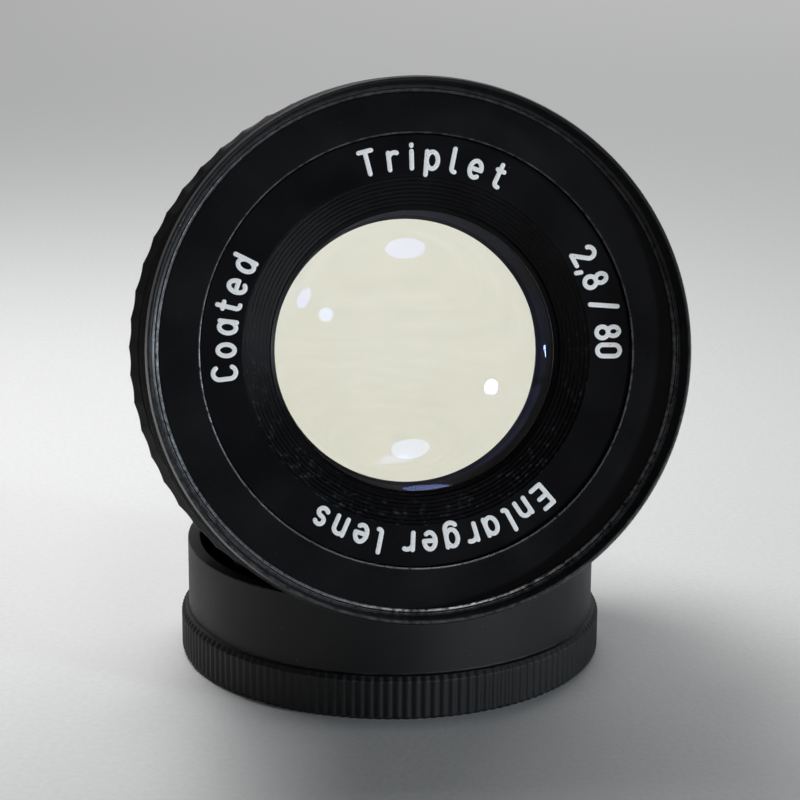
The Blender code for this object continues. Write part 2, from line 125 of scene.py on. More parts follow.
# Aperture ring.
RING_RADIUS = 27.6
RING_BORE = 25.15
RING_GROOVE = 26.95
RING_FRONT = 7.95
RING_BACK = 13.95
KNURL_COUNT = 150
KNURL_DEPTH = 0.16
KNURL_END = 10.6
SCALE_RADIUS = 27.25
STOPS = ("2.8", "4", "5.6", "8", "11", "16")
STOP_STEP = 8.0
SCALE_LETTER = 1.6
SCALE_GAP = 0.3
SCALE_STROKE = 0.22
SCALE_BASE = 13.25

# Rear mount.
THREAD_RADIUS = 20.9
THREAD_START = 50.0
THREAD_END = 54.4
THREAD_PITCH = 1.0
THREAD_HEIGHT = 0.55
THREAD_ROOT = THREAD_RADIUS - 0.75
THREAD_FOOT = THREAD_RADIUS - THREAD_HEIGHT
THREAD_STEPS = 9
MOUNT_SCREW_ANGLES = (90.0, 210.0, 330.0)
MOUNT_SCREW_DEPTH = 44.7
MOUNT_SCREW_RADIUS = 0.75
MOUNT_SCREW_TOP = 24.9
MOUNT_SCREW_FOOT = 21.6
MOUNT_SCREW_HOLE = 0.95
DRIVE_SCREW_ANGLE = 216.6
DRIVE_SCREW_DEPTH = 12.5
DRIVE_SCREW_RADIUS = 0.62
DRIVE_SCREW_TOP = 27.15
DRIVE_SCREW_FOOT = 21.7
DRIVE_SCREW_HOLE = 0.75

# Rear cap.
CAP_RADIUS = 24.25
CAP_WALL = 23.4
CAP_MOUTH = 22.0
CAP_HEIGHT = 13.3
CAP_GRIP = 5.0
CAP_FLOOR = 2.0
CAP_RIBS = 150
CAP_RIB_DEPTH = 0.16


# ---------------------------------------------------------------- camera

CAMERA_PLACE = Vector((-26.69, -265.9, 105.25)) * MM
CAMERA_YAW, CAMERA_PITCH, CAMERA_ROLL = (math.radians(angle) for angle in (5.95, -15.89, 0.42))
CAMERA_LENS = 109.37


def make_camera():
    ahead = Vector((math.sin(CAMERA_YAW) * math.cos(CAMERA_PITCH),
                    math.cos(CAMERA_YAW) * math.cos(CAMERA_PITCH), math.sin(CAMERA_PITCH)))
    level = ahead.cross(Vector((0.0, 0.0, 1.0))).normalized()
    above = level.cross(ahead)
    right = level * math.cos(CAMERA_ROLL) + above * math.sin(CAMERA_ROLL)
    up = above * math.cos(CAMERA_ROLL) - level * math.sin(CAMERA_ROLL)
    data = bpy.data.cameras.new("camera")
    data.lens = CAMERA_LENS
    data.sensor_width = 36.0
    data.clip_start = 0.01
    camera = bpy.data.objects.new("camera", data)
    camera.matrix_world = (Matrix.Translation(CAMERA_PLACE)
                           @ Matrix((right, up, -ahead)).transposed().to_4x4())
    bpy.context.scene.collection.objects.link(camera)
    bpy.context.scene.camera = camera


# ---------------------------------------------------------------- materials

# Bare metal of the edge wear. On black metal it is kept mostly to the lower side, where it also stands for
# painted highlights.
WORN_METAL_AND_HIGHLIGHT = (0.36, 0.37, 0.39)
DUST = (0.22, 0.23, 0.25)
METAL_GRAIN = 0.002
GLASS_COLOUR = (1.0, 1.0, 0.983)


class Finish:
    """A Principled material, with short calls for the nodes that vary it over the surface."""

    def __init__(self, name, colour, roughness, metallic=0.0, **sockets):
        self.material = bpy.data.materials.new(name)
        self.material.use_nodes = True
        self.tree = self.material.node_tree
        self.shader = self.tree.nodes["Principled BSDF"]
        self.set("Base Color", (*colour, 1.0))
        self.set("Roughness", roughness)
        self.set("Metallic", metallic)
        for socket, value in sockets.items():
            self.set(socket.replace("_", " "), value)

    def set(self, socket, value):
        self.shader.inputs[socket].default_value = value

    def drive(self, socket, output):
        """Lets a node's output vary a shader socket over the surface."""
        self.tree.links.new(output, self.shader.inputs[socket])

    def node(self, kind, inputs=(), **settings):
        made = self.tree.nodes.new(kind)
        for key, value in settings.items():
            setattr(made, key, value)
        for socket, value in dict(inputs).items():
            if isinstance(value, bpy.types.NodeSocket):
                self.tree.links.new(value, made.inputs[socket])
            else:
                made.inputs[socket].default_value = value
        return made

    def place(self):
        return self.node("ShaderNodeTexCoord").outputs["Object"]

    def attribute(self, name, output="Fac"):
        return self.node("ShaderNodeAttribute", attribute_name=name).outputs[output]

    def noise(self, scale, detail=2.0, vector=None, roughness=0.5):
        vector = vector or self.place()
        inputs = {"Vector": vector, "Scale": scale, "Detail": detail, "Roughness": roughness}
        return self.node("ShaderNodeTexNoise", inputs).outputs["Fac"]

    def between(self, value, low, high, to_low=0.0, to_high=1.0):
        """Maps low..high to to_low..to_high and clamps it."""
        inputs = {"Value": value, "From Min": low, "From Max": high, "To Min": to_low, "To Max": to_high}
        return self.node("ShaderNodeMapRange", inputs).outputs["Result"]

    def combine(self, operation, first, second):
        """Math node on two values or outputs."""
        return self.node("ShaderNodeMath", {0: first, 1: second}, operation=operation).outputs[0]

    def blend(self, factor, first, second):
        """Colour between two colours or colour outputs."""
        made = self.node("ShaderNodeMix", data_type="RGBA")
        for index, value in ((0, factor), (6, first), (7, second)):
            if isinstance(value, bpy.types.NodeSocket):
                self.tree.links.new(value, made.inputs[index])
            else:
                made.inputs[index].default_value = value if index == 0 else (*value, 1.0)
        return made.outputs[2]

    def specks(self, spacing, size, share):
        """Sparse dots, such as dust: 1 on a dot, 0 elsewhere. Spacing and size are in millimetres."""
        cells = self.node("ShaderNodeTexVoronoi", {"Vector": self.place(), "Scale": 1.0 / (spacing * MM)})
        edge = size / spacing
        ragged = self.combine("MULTIPLY", self.noise(3.0 / (size * MM)), edge)
        inside = self.combine("SUBTRACT", cells.outputs["Distance"], ragged)
        dot = self.between(inside, edge * 0.15, -edge * 0.15)
        chosen = self.between(cells.outputs["Color"], 1.0 - share, 1.02 - share)
        return self.combine("MULTIPLY", dot, chosen)

    def bump(self, height, distance, strength=1.0, before=None):
        inputs = {"Height": height, "Distance": distance * MM, "Strength": strength}
        if before is not None:
            inputs["Normal"] = before
        return self.node("ShaderNodeBump", inputs).outputs["Normal"]


def black_metal(name, colour, roughness, turning=0.002, wear=0.5, dust=0.12, shine=0.5):
    """Black paint or anodising on turned metal: concentric tool marks, a fine grain, handling marks,
    thin bright edges where the paint is rubbed through, and specks of dust. These bright edges are partly
    real wear and partly painted highlight: they are kept mostly to the lower side of each piece. wear runs
    from 0 to 1, and dust is the share of specks."""
    finish = Finish(name, colour, roughness, Specular_IOR_Level=shine)
    marks = finish.noise(2.4, 5.0, finish.attribute("turned", "Vector"), 0.7)
    fine = finish.noise(9000.0, 2.0)
    smudge = finish.noise(160.0, 4.0)
    chips = finish.between(finish.noise(1500.0, 5.0, roughness=0.7), 0.6 - 0.25 * wear, 0.82 - 0.25 * wear)
    # Painted highlight: the bright edge wear is strong on the lower side of each piece and faint on top.
    lower_highlight = finish.between(finish.attribute("low"), 0.35, 0.9, 0.12, 1.0)
    wear_and_highlight = finish.combine("MULTIPLY", finish.attribute("edge"), finish.combine("MULTIPLY", chips, wear))
    wear_and_highlight = finish.combine("MINIMUM", finish.combine("MULTIPLY", wear_and_highlight, lower_highlight), 1.0)
    specks = finish.specks(0.55, 0.06, dust)
    lighter = tuple(min(1.0, part * 1.6 + 0.001) for part in colour)
    base = finish.blend(finish.between(smudge, 0.35, 0.75), colour, lighter)
    base = finish.blend(wear_and_highlight, base, WORN_METAL_AND_HIGHLIGHT)
    finish.drive("Base Color", finish.blend(specks, base, DUST))
    mottled = finish.between(finish.combine("ADD", smudge, finish.between(fine, 0.0, 1.0, -0.2, 0.2)),
                             0.3, 0.8, roughness * 0.85, roughness * 1.25)
    finish.drive("Roughness", finish.combine("MAXIMUM", mottled, finish.combine("MULTIPLY", specks, 0.9)))
    finish.drive("Metallic", wear_and_highlight)
    normal = finish.bump(marks, turning * 4.0)
    finish.drive("Normal", finish.bump(fine, METAL_GRAIN, before=normal))
    return finish.material


def moulded_plastic(name, colour, roughness):
    """Matte moulded plastic: a fine eroded grain, faint flow marks, rubbed edges and dust."""
    finish = Finish(name, colour, roughness, Specular_IOR_Level=0.3)
    fine = finish.noise(5200.0, 3.0)
    flow = finish.noise(90.0, 5.0)
    patchy = finish.between(finish.noise(900.0, 4.0), 0.42, 0.7)
    rub = finish.combine("MULTIPLY", finish.attribute("edge"), patchy)
    dust = finish.specks(0.5, 0.07, 0.16)
    lighter = tuple(part * 1.5 + 0.001 for part in colour)
    base = finish.blend(finish.between(flow, 0.3, 0.75), colour, lighter)
    base = finish.blend(finish.combine("MULTIPLY", rub, 0.35), base, (0.06, 0.06, 0.062))
    finish.drive("Base Color", finish.blend(dust, base, (0.2, 0.2, 0.21)))
    finish.drive("Roughness", finish.between(finish.combine("ADD", flow, fine), 0.6, 1.4,
                                             roughness - 0.08, roughness + 0.12))
    finish.drive("Normal", finish.bump(fine, 0.006))
    return finish.material


def bare_metal(name, colour, roughness, turning=0.003):
    """Bare turned metal with tool marks and a little tarnish."""
    finish = Finish(name, colour, roughness, metallic=1.0)
    marks = finish.noise(3.0, 4.0, finish.attribute("turned", "Vector"), 0.7)
    tarnish = finish.noise(420.0, 5.0)
    finish.drive("Base Color", finish.blend(finish.between(tarnish, 0.35, 0.75), colour,
                                            tuple(part * 0.6 for part in colour)))
    finish.drive("Roughness", finish.between(tarnish, 0.3, 0.8, roughness * 0.8, roughness * 1.5))
    scratches = finish.bump(finish.noise(2400.0, 5.0), 0.002)
    finish.drive("Normal", finish.bump(marks, turning, before=scratches))
    return finish.material


def white_paint():
    """Filled engraving: slightly uneven white paint with a few dark flecks."""
    finish = Finish("white_paint", (0.8, 0.8, 0.78), 0.5)
    flecks = finish.between(finish.noise(5200.0, 3.0), 0.66, 0.74)
    tone = finish.blend(finish.noise(1200.0, 3.0), (0.98, 0.98, 0.97), (0.9, 0.91, 0.9))
    finish.drive("Base Color", finish.blend(flecks, tone, (0.25, 0.25, 0.25)))
    finish.drive("Roughness", finish.between(finish.noise(3000.0), 0.2, 0.8, 0.4, 0.65))
    finish.drive("Normal", finish.bump(finish.noise(7000.0), 0.006))
    return finish.material


def coated_glass(name, ior, tint):
    """Ground and polished glass with a blue single coating, faint wiping marks and specks of dust."""
    finish = Finish(name, GLASS_COLOUR, 0.0, IOR=ior, Transmission_Weight=1.0,
                    Specular_Tint=(*tint, 1.0))
    dust = finish.specks(0.9, 0.06, 0.2)
    smear = finish.noise(240.0, 6.0)
    hidden = finish.combine("MULTIPLY", dust, 0.8)
    finish.drive("Transmission Weight", finish.combine("SUBTRACT", 1.0, hidden))
    finish.drive("Base Color", finish.blend(dust, GLASS_COLOUR, (0.12, 0.11, 0.1)))
    finish.drive("Roughness", finish.combine("ADD", finish.between(smear, 0.45, 0.9, 0.0, 0.012),
                                             finish.combine("MULTIPLY", dust, 0.5)))
    return finish.material


def paper():
    """Pale backdrop card with a faint fibre grain."""
    finish = Finish("paper", (0.8, 0.8, 0.79), 0.85)
    fibre = finish.noise(1400.0, 5.0)
    shade = finish.between(fibre, 0.3, 0.7)
    finish.drive("Base Color", finish.blend(shade, (0.78, 0.785, 0.78), (0.83, 0.83, 0.82)))
    finish.drive("Roughness", finish.between(fibre, 0.2, 0.8, 0.8, 0.95))
    finish.drive("Normal", finish.bump(fibre, 0.03))
    return finish.material


# ---------------------------------------------------------------- turned pieces

def rounded(outline, rounding=ROUNDING, steps=3):
    """Outline with each corner rounded, as (radius, depth, edge) points. The edge value tells how far
    the paint is rubbed through: 1 on a rounding and 0 on the flats. On black metal it also sets the painted
    highlight on the lower side. A corner may bring its own rounding as a third number and its own edge
    value as a fourth."""
    points = []
    for index, corner in enumerate(outline):
        here = Vector(corner[:2])
        size = corner[2] if len(corner) > 2 else rounding
        wear_and_highlight = corner[3] if len(corner) > 3 else 1.0
        before = Vector(outline[index - 1][:2]) - here
        after = Vector(outline[(index + 1) % len(outline)][:2]) - here
        spread = before.angle(after) if before.length > SMALL and after.length > SMALL else math.pi
        if size <= 0.0 or here.x < SMALL or spread > math.radians(172):
            points.append((here.x, here.y, 0.0))
            continue
        reach = min(size / math.tan(spread / 2), 0.4 * before.length, 0.4 * after.length)
        start = here + before.normalized() * reach
        end = here + after.normalized() * reach
        if before.length - 2 * reach > 3 * LIP:
            lead = start + before.normalized() * LIP
            points.append((lead.x, lead.y, 0.0))
        for step in range(steps + 1):
            t = step / steps
            point = start * (1 - t) ** 2 + here * 2 * t * (1 - t) + end * t ** 2
            points.append((point.x, point.y, wear_and_highlight))
        if after.length - 2 * reach > 3 * LIP:
            lead = end + after.normalized() * LIP
            points.append((lead.x, lead.y, 0.0))
    return points


def weighted(made, sharp=60.0):
    """Smooth shading in which large flats keep their own direction."""
    made.data.shade_smooth()
    made.data.set_sharp_from_angle(angle=math.radians(sharp))
    modifier = made.modifiers.new("weighted_normal", "WEIGHTED_NORMAL")
    modifier.weight = 90
    modifier.keep_sharp = True
    return made


def new_piece(name, builder, finish, place=LENS):
    """Object from a bmesh in millimetres."""
    bmesh.ops.recalc_face_normals(builder, faces=builder.faces)
    mesh = bpy.data.meshes.new(name)
    builder.to_mesh(mesh)
    builder.free()
    mesh.transform(place)
    mesh.materials.append(finish)
    made = bpy.data.objects.new(name, mesh)
    bpy.context.scene.collection.objects.link(made)
    return made


def lathe(name, points, finish, segments=FINE, warp=None, place=LENS):
    """Closed outline of (radius, depth, edge) points turned round the axis. warp(angle, radius, depth)
    gives the radius where the piece isn't plainly round. A point on the axis becomes a pole. The
    attribute low is 1 at the bottom of the piece and 0 at the top; it puts the painted highlight on the
    bright edges mostly at the bottom."""
    builder = bmesh.new()
    turned = builder.verts.layers.float_vector.new("turned")
    edge_layer = builder.verts.layers.float.new("edge")
    low_layer = builder.verts.layers.float.new("low")
    rings = []
    for radius, depth, edge in points:
        ring = []
        for segment in range(1 if radius < SMALL else segments):
            angle = math.tau * segment / segments
            there = warp(angle, radius, depth) if warp else radius
            vertex = builder.verts.new((there * math.cos(angle), there * math.sin(angle), -depth))
            vertex[turned] = (radius, depth, 0.0)
            vertex[edge_layer] = edge
            # Painted highlight mask: 1 at the bottom, 0 at the top.
            vertex[low_layer] = 0.5 - 0.5 * math.sin(angle)
            ring.append(vertex)
        rings.append(ring)
    for index, ring in enumerate(rings):
        following = rings[(index + 1) % len(rings)]
        if len(ring) == 1 and len(following) == 1:
            continue
        for segment in range(segments):
            other = (segment + 1) % segments
            corners = [ring[segment % len(ring)], ring[other % len(ring)],
                       following[other % len(following)], following[segment % len(following)]]
            builder.faces.new(list(dict.fromkeys(corners)))
    return new_piece(name, builder, finish, place)


def install(made, body, slot, *nodes):
    """Lets a piece ride on a body and stand for CAD nodes."""
    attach(made, body)
    if nodes:
        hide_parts(*nodes)


def helix(start, end, fade=0.35):
    """Warp that raises the screw thread between two depths. It fades in and out at its ends."""
    def warp(angle, radius, depth):
        if depth < start - SMALL or depth > end + SMALL:
            return radius
        phase = (depth / THREAD_PITCH - angle / math.tau) % 1.0
        crest = 1.0 - abs(2.0 * phase - 1.0)
        crest = min(1.0, max(0.0, 1.35 * crest - 0.175))
        ends = min(1.0, (depth - start) / fade, (end - depth) / fade)
        return radius + THREAD_HEIGHT * crest * max(0.0, ends)
    return warp


def threaded(outline, start, end, after):
    """Outline with the thread's closely spaced points put in. after is the number of points before them."""
    count = int((end - start) / THREAD_PITCH * THREAD_STEPS)
    run = [(THREAD_FOOT, start + (end - start) * step / count, 0.3) for step in range(count + 1)]
    return outline[:after] + run + outline[after:]


def cut(made, tools):
    """Cuts the tools from a piece, removes them and clears slivers away."""
    for tool in tools:
        step = made.modifiers.new("cut", "BOOLEAN")
        step.operation = "DIFFERENCE"
        step.object = tool
    bpy.context.view_layer.update()
    result = bpy.data.meshes.new_from_object(made.evaluated_get(bpy.context.evaluated_depsgraph_get()))
    made.modifiers.clear()
    builder = bmesh.new()
    builder.from_mesh(result)
    bmesh.ops.triangulate(builder, faces=[face for face in builder.faces if len(face.verts) > 4])
    bmesh.ops.dissolve_degenerate(builder, dist=SLIVER, edges=builder.edges)
    builder.to_mesh(result)
    builder.free()
    made.data = result
    for tool in tools:
        bpy.data.objects.remove(tool)
    return made


def radial_pin(name, outline, angle, depth, finish, segments=32):
    """Small turned piece whose axis points out of the lens axis. Its outline is (radius, height)
    points, with the height measured from the lens axis."""
    aim = Matrix.Rotation(math.radians(angle), 4, "Z") @ Matrix.Rotation(math.radians(90), 4, "Y")
    place = LENS @ Matrix.Translation((0.0, 0.0, -depth)) @ aim
    points = [(radius, -height, edge) for radius, height, edge in outline]
    return lathe(name, points, finish, segments, place=place)


def hole_tool(angle, depth, radius, low, high, finish):
    """Cutting tool for a round hole that points at the lens axis, between two distances from it."""
    outline = [(0.0, high, 0.0), (radius, high, 0.0), (radius, low, 0.0), (0.0, low, 0.0)]
    return radial_pin("hole", outline, angle, depth, finish)


# ---------------------------------------------------------------- casing

def make_bezel(finish):
    side = [(BEZEL_RADIUS - 0.03, RIB_START - 0.15, 0.06, 0.0)]
    for rib in range(RIB_COUNT):
        front = RIB_START + RIB_PITCH * rib
        crest = BEZEL_RADIUS + (BEZEL_REAR - BEZEL_RADIUS) * rib / (RIB_COUNT - 1)
        wear_and_highlight = 0.3 if rib == RIB_COUNT - 1 else 0.0
        side += [(crest, front, 0.02, wear_and_highlight), (crest - RIB_DROP, front + RIB_PITCH - 0.1, 0.04, 0.0)]
    middle_depth = (BEVEL_START + BEVEL_END) / 2
    middle = (BEZEL_WALL + BEZEL_BORE) / 2
    # The bevel's corners carry edge values above 1: bright rubbed-through metal, a painted highlight along
    # the lower side.
    outline = rounded([(RIM_INNER, 0.0, 0.1, 0.2), (RIM_OUTER, 0.0, 0.1, 0.2)] + side[:-1] + [
        (BEZEL_REAR - 0.15, BEZEL_BACK, 0.1), (23.8, BEZEL_BACK), (23.8, 4.75), (BEZEL_BORE, 4.75),
        (BEZEL_BORE, BEVEL_END, 0.08, 1.0), (middle - 0.05, middle_depth + 0.03, 0.03, 1.6),
        (middle - 0.02, middle_depth + 0.12, 0.03, 0.0), (middle + 0.05, middle_depth + 0.12, 0.03, 0.0),
        (middle + 0.08, middle_depth - 0.02, 0.03, 1.6), (BEZEL_WALL, BEVEL_START, 0.12, 0.4),
    ])
    made = lathe("front_bezel_turned", outline, finish)
    install(weighted(made), "lens", "gloss_black", "front_bezel")


def make_trim_ring(finish):
    outer = BEZEL_BORE - 0.04
    # The inner edge's value of 2 gives a bright line of rubbed-through metal, a painted highlight along the
    # lower side.
    outline = rounded([(TRIM_INNER, TRIM_INNER_DEPTH, 0.12, 2.0), (outer, TRIM_OUTER_DEPTH, 0.03, 0.0),
                       (outer, TRIM_BACK), (TRIM_INNER, TRIM_BACK)])
    made = lathe("front_trim_ring_turned", outline, finish)
    install(weighted(made), "lens", "gloss_black", "front_trim_ring")


def band_depth(radius):
    share = (BAND_OUTER - radius) / (BAND_OUTER - BAND_INNER)
    return BAND_OUTER_DEPTH + share * (BAND_INNER_DEPTH - BAND_OUTER_DEPTH)


def make_name_ring(finish):
    """Flat band, then a cone of fine steps down to the glass."""
    outline = [(BAND_OUTER, 5.9), (BAND_OUTER, BAND_OUTER_DEPTH)]
    across = (BAND_INNER - CONE_INNER) / CONE_STEPS
    down = (CONE_DEPTH - BAND_INNER_DEPTH) / CONE_STEPS
    for step in range(CONE_STEPS):
        radius = BAND_INNER - across * step
        depth = BAND_INNER_DEPTH + down * step
        # Each step's ridge carries a high edge value: rubbed-through metal that is painted as glints along
        # the lower side.
        outline.append((radius, depth, 0.05, 1.8))
        outline.append((radius - 0.35 * across, depth + down * 0.85, 0.03, 0.0))
    outline += [(CONE_INNER, CONE_DEPTH, 0.05, 0.0), (CONE_INNER, 6.35), (18.6, 6.35), (18.6, 5.9)]
    made = lathe("name_ring_turned", rounded(outline), finish)
    install(weighted(made), "lens", "name_black", "name_ring")


def make_barrel(finish):
    outline = rounded([
        (22.4, 4.8), (23.55, 4.8), (23.55, 7.9), (25.0, 7.9), (25.0, 14.15), (BARREL_RADIUS, 14.15, 0.2),
        (BARREL_RADIUS, 34.4), (26.05, 34.6), (26.05, 35.0), (BARREL_RADIUS, 35.2),
        (BARREL_RADIUS, 38.0, 0.0), (24.9, BARREL_END, 0.15), (23.2, BARREL_END), (23.2, 11.5),
        (17.6, 11.5), (17.6, 7.85), (22.4, 7.85),
    ])
    made = lathe("barrel_turned", outline, finish)
    tools = [hole_tool(90.0, INDEX_DEPTH, INDEX_HOLE, 26.1, 27.0, finish)]
    for angle in MOUNT_SCREW_ANGLES:
        tools.append(hole_tool(angle, MOUNT_SCREW_DEPTH, MOUNT_SCREW_HOLE, 22.5, 27.0, finish))
    install(weighted(cut(made, tools), 40.0), "lens", "satin_black", "barrel")


def make_index_dot(finish):
    outline = rounded([(0.0, 26.36), (INDEX_RADIUS, 26.33, 0.04), (INDEX_RADIUS, 26.0), (0.0, 26.0)])
    install(weighted(radial_pin("index_dot_filled", outline, 90.0, INDEX_DEPTH, finish)),
            "lens", "white_paint", "index_dot")


def make_flange(finish):
    corner = (THREAD_ROOT, THREAD_START + 0.3)
    first, last = THREAD_START + 0.4, THREAD_END - 0.25
    outline = rounded([
        (18.5, 43.0), (22.95, 43.0), (22.95, 46.8), (24.8, 46.8, 0.1), (23.5, 50.0, 0.1),
        (THREAD_ROOT, THREAD_START), (*corner, 0.0), (THREAD_ROOT, THREAD_END, 0.2),
        (18.5, THREAD_END, 0.12),
    ])
    at_corner = next(index for index, point in enumerate(outline) if math.dist(point[:2], corner) < 0.01)
    outline = threaded(outline, first, last, at_corner + 1)
    made = lathe("mount_flange_turned", outline, finish, warp=helix(first, last))
    install(weighted(made, 80.0), "lens", "satin_black", "mount_flange")


def make_screw(name, radius, top, foot, angle, depth, slot_width, finish):
    """Headless screw that points at the lens axis, with a screwdriver slot across its outer end."""
    outline = rounded([(0.0, top), (radius, top, 0.1), (radius, foot, 0.1), (0.0, foot)])
    screw = radial_pin(f"{name}_turned", outline, angle, depth, finish)
    builder = bmesh.new()
    bmesh.ops.create_cube(builder, size=1.0)
    bmesh.ops.scale(builder, vec=(0.9, slot_width, 4.0), verts=builder.verts)
    aim = Matrix.Rotation(math.radians(angle), 4, "Z")
    place = LENS @ aim @ Matrix.Translation((top, 0.0, -depth))
    return weighted(cut(screw, [new_piece("slot", builder, finish, place)]), 40.0)


def make_screws(steel, brass):
    for number, angle in enumerate(MOUNT_SCREW_ANGLES, start=1):
        name = f"mount_screw_{number}"
        screw = make_screw(name, MOUNT_SCREW_RADIUS, MOUNT_SCREW_TOP, MOUNT_SCREW_FOOT, angle,
                           MOUNT_SCREW_DEPTH, 0.24, steel)
        install(screw, "lens", "steel", name)
    screw = make_screw("drive_screw", DRIVE_SCREW_RADIUS, DRIVE_SCREW_TOP, DRIVE_SCREW_FOOT,
                       DRIVE_SCREW_ANGLE, DRIVE_SCREW_DEPTH, 0.22, brass)
    install(screw, "aperture_ring", "brass", "drive_screw")


# ---------------------------------------------------------------- rings

def flute_warp(angle, radius, _depth):
    """Scallops the grip ring: shallow hollows with a narrow crest between them."""
    if radius < GRIP_RADIUS - 1.2:
        return radius
    share = (angle * FLUTES / math.tau + FLUTE_PHASE) % 1.0
    hollow = 1.0 - abs(2.0 * share - 1.0) ** 1.7
    return radius - FLUTE_DEPTH * hollow * min(1.0, (radius - GRIP_RADIUS + 1.2) / 0.8)


def make_grip_ring(finish):
    outline = rounded([
        (GRIP_BORE, GRIP_FRONT), (GRIP_RADIUS - 0.9, GRIP_FRONT, 0.12, 0.4),
        (GRIP_RADIUS, GRIP_FRONT + 0.6, 0.15, 0.4), (GRIP_RADIUS, GRIP_BACK - 0.6, 0.15, 0.6),
        (GRIP_RADIUS - 0.6, GRIP_BACK, 0.12, 0.4), (GRIP_BORE, GRIP_BACK),
    ])
    made = lathe("grip_ring_scalloped", outline, finish, segments=FLUTES * 10, warp=flute_warp)
    install(weighted(made, 50.0), "lens", "ring_black", "grip_ring")


def knurl_warp(angle, radius, depth):
    """Fine straight knurl round the front part of the aperture ring."""
    if depth > KNURL_END + SMALL or radius < RING_RADIUS - 0.7:
        return radius
    share = (angle * KNURL_COUNT / math.tau) % 1.0
    crest = 1.0 - abs(2.0 * share - 1.0)
    return radius - KNURL_DEPTH * min(1.0, 1.5 * crest) * min(1.0, (radius - RING_RADIUS + 0.7) / 0.5)


def make_aperture_ring(finish):
    band = KNURL_END + 0.45
    outline = rounded([
        (RING_BORE, RING_FRONT), (RING_RADIUS - 0.5, RING_FRONT, 0.1), (RING_RADIUS, RING_FRONT + 0.5, 0.1),
        (RING_RADIUS, KNURL_END - 0.3, 0.1), (RING_RADIUS - 0.3, KNURL_END, 0.06),
        (RING_GROOVE, KNURL_END + 0.02, 0.05), (RING_GROOVE, band - 0.05, 0.05), (SCALE_RADIUS, band, 0.06),
        (SCALE_RADIUS, RING_BACK - 0.4, 0.1), (26.8, RING_BACK, 0.1), (RING_BORE, RING_BACK),
    ])
    made = lathe("aperture_ring_knurled", outline, finish, segments=KNURL_COUNT * 6, warp=knurl_warp)
    cut(made, [hole_tool(DRIVE_SCREW_ANGLE, DRIVE_SCREW_DEPTH, DRIVE_SCREW_HOLE, 26.4, 28.5, finish)])
    install(weighted(made, 50.0), "aperture_ring", "ring_black", "aperture_ring")


# ---------------------------------------------------------------- lettering

def bow(x, y, across, high, start, end, steps=12):
    """Points on an elliptical arc."""
    angles = [math.radians(start + (end - start) * step / steps) for step in range(steps + 1)]
    return [(x + across * math.cos(angle), y + high * math.sin(angle)) for angle in angles]


BOWL = bow(0.25, 0.37, 0.25, 0.37, 0, 360, 24)

# Each glyph: its width, then its strokes on a cap height of 1.
GLYPHS = {
    "E": (0.48, [(0, 0), (0, 1)], [(0, 1), (0.48, 1)], [(0, 0.52), (0.42, 0.52)], [(0, 0), (0.48, 0)]),
    "T": (0.56, [(0, 1), (0.56, 1)], [(0.28, 1), (0.28, 0)]),
    "C": (0.5, bow(0.27, 0.72, 0.27, 0.28, 30, 180) + bow(0.27, 0.28, 0.27, 0.28, 180, 330)),
    "r": (0.34, [(0, 0), (0, 0.74)], bow(0.26, 0.46, 0.26, 0.27, 175, 65)),
    "i": (0.0, [(0, 0), (0, 0.74)], [(0, 0.98), (0, 1.02)]),
    "p": (0.5, [(0, -0.28), (0, 0.74)], BOWL),
    "l": (0.14, [(0, 1), (0, 0.14)] + bow(0.14, 0.14, 0.14, 0.14, 190, 270, 6)),
    "e": (0.5, [(0.02, 0.37), (0.48, 0.37)], bow(0.25, 0.37, 0.25, 0.37, 0, 305, 20)),
    "t": (0.32, [(0.12, 0.98), (0.12, 0.15)] + bow(0.27, 0.15, 0.15, 0.15, 190, 280, 6),
          [(0, 0.72), (0.3, 0.72)]),
    "n": (0.46, [(0, 0), (0, 0.74)], bow(0.23, 0.5, 0.23, 0.24, 180, 0) + [(0.46, 0)]),
    "a": (0.5, BOWL, [(0.5, 0.74), (0.5, 0)]),
    "g": (0.5, BOWL, [(0.5, 0.74), (0.5, -0.06)] + bow(0.25, -0.06, 0.25, 0.24, -5, -150, 9)),
    "s": (0.42, bow(0.21, 0.555, 0.19, 0.185, 35, 265, 10) + bow(0.21, 0.185, 0.21, 0.185, 85, -145, 10)),
    "o": (0.5, BOWL),
    "d": (0.5, BOWL, [(0.5, 1), (0.5, 0)]),
    "0": (0.5, bow(0.25, 0.75, 0.25, 0.25, 0, 180) + bow(0.25, 0.25, 0.25, 0.25, 180, 360) + [(0.5, 0.75)]),
    "1": (0.2, [(0.2, 0), (0.2, 1)], [(0.2, 1), (0, 0.8)]),
    "2": (0.5, bow(0.25, 0.74, 0.25, 0.26, 165, -25) + [(0.02, 0.04)], [(0, 0), (0.5, 0)]),
    "4": (0.5, [(0.32, 1), (0.0, 0.28)], [(0, 0.26), (0.5, 0.26)], [(0.36, 0.55), (0.36, 0)]),
    "5": (0.5, [(0.06, 1), (0.46, 1)], [(0.06, 1), (0.04, 0.56)],
          bow(0.24, 0.31, 0.25, 0.31, 130, -145, 16)),
    "6": (0.5, bow(0.25, 0.3, 0.25, 0.3, 0, 360, 24), bow(0.5, 0.34, 0.5, 0.68, 115, 180, 8)),
    "8": (0.5, bow(0.25, 0.755, 0.2, 0.245, 0, 360, 20), bow(0.25, 0.26, 0.25, 0.26, 0, 360, 22)),
    "/": (0.36, [(0, -0.06), (0.36, 1.1)]),
    ",": (0.06, [(0.05, 0.04), (-0.01, -0.16)]),
    ".": (0.0, [(0, 0), (0, 0.03)]),
    " ": (0.1,),
}


